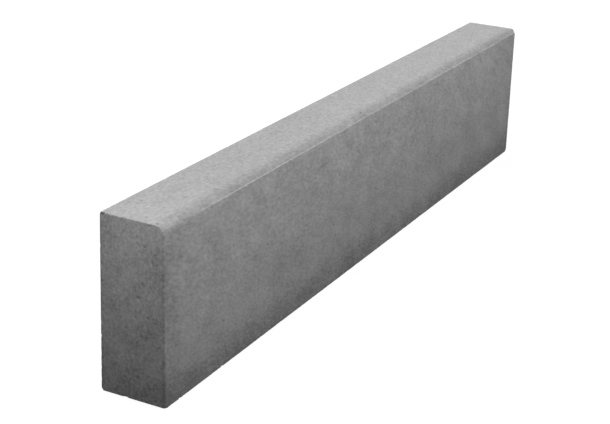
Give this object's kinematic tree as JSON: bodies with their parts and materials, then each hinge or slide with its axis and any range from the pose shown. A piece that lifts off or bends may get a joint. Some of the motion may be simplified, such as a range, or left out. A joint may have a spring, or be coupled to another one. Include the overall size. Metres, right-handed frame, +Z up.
{
  "type": "concrete kerb stone",
  "caption": "Straight pressed-concrete garden kerb: an upright rectangular bar with one long top arris eased to a shallow curve and narrow ledge.",
  "frame": {"origin": "middle of the foot, on the bed the kerb stands on", "axes": "+X along the kerb, -Y out of the face with the eased arris, +Z up"},
  "size_m": [1, 0.08, 0.2],
  "materials": {
    "concrete": "pressed plain grey concrete, fine sandy open surface"
  },
  "bodies": {
    "root": {"kerb_stone": "concrete"}
  },
  "joints": []
}
